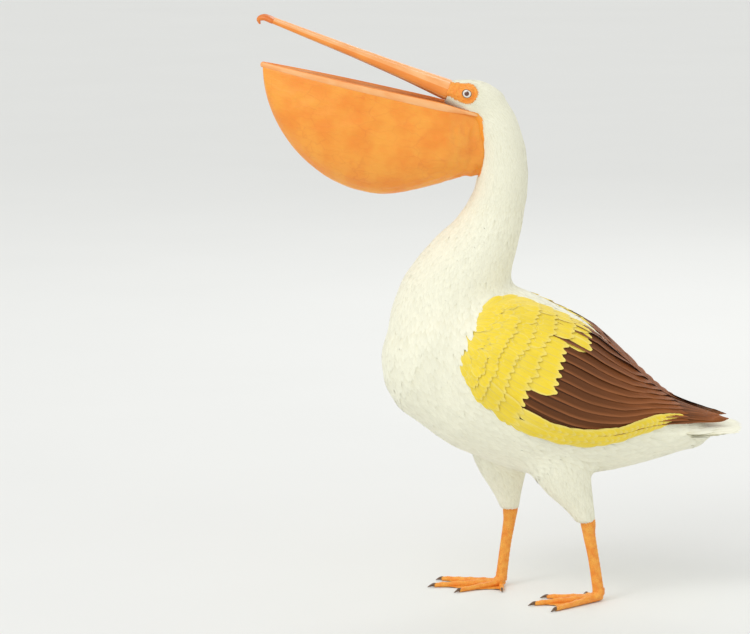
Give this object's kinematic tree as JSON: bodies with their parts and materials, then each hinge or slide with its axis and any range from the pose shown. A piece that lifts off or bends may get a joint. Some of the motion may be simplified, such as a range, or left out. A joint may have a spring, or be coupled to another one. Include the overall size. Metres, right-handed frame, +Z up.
{
  "type": "american white pelican model",
  "caption": "Standing white pelican in mid stride with open bill, full hanging pouch, folded wings and webbed feet.",
  "frame": {"origin": "on the floor, under the middle of the whole bird's bounding box", "axes": "+Z up, the bird faces -X, its left side is -Y"},
  "size_m": [0.8498, 0.3074, 1.0272],
  "materials": {
    "white_plumage": "soft matt feathers, cream white",
    "yellow_coverts": "soft matt feathers, straw yellow",
    "dark_flight_feathers": "smooth vanes, dark brown, slight sheen",
    "bare_skin": "finely wrinkled bare skin, orange",
    "leg_scales": "small scales, orange, satin",
    "bill_horn": "satin horn, peach orange",
    "bill_nail": "polished horn, deeper orange",
    "pouch_skin": "thin stretched skin, orange, satin",
    "claw": "satin horn, dark brown",
    "eye": "wet gloss, pale iris, dark pupil"
  },
  "bodies": {
    "root": {"trunk": "white_plumage", "tail": "white_plumage", "neck_upper": "white_plumage", "neck_lower": "white_plumage", "thigh_left": "white_plumage", "thigh_right": "white_plumage", "head": "white_plumage", "wing_left": "yellow_coverts", "flight_feathers_left": "dark_flight_feathers", "shank_left": "leg_scales", "foot_left": "leg_scales", "eye_left": "eye", "claw_left_outer": "claw", "claw_left_middle": "claw", "claw_left_inner": "claw", "claw_left_hind": "claw", "wing_right": "yellow_coverts", "flight_feathers_right": "dark_flight_feathers", "shank_right": "leg_scales", "foot_right": "leg_scales", "eye_right": "eye", "claw_right_outer": "claw", "claw_right_middle": "claw", "claw_right_inner": "claw", "claw_right_hind": "claw", "bill_upper": "bill_horn", "bill_nail": "bill_nail", "bill_lower": "bill_horn", "pouch": "pouch_skin"}
  },
  "joints": []
}
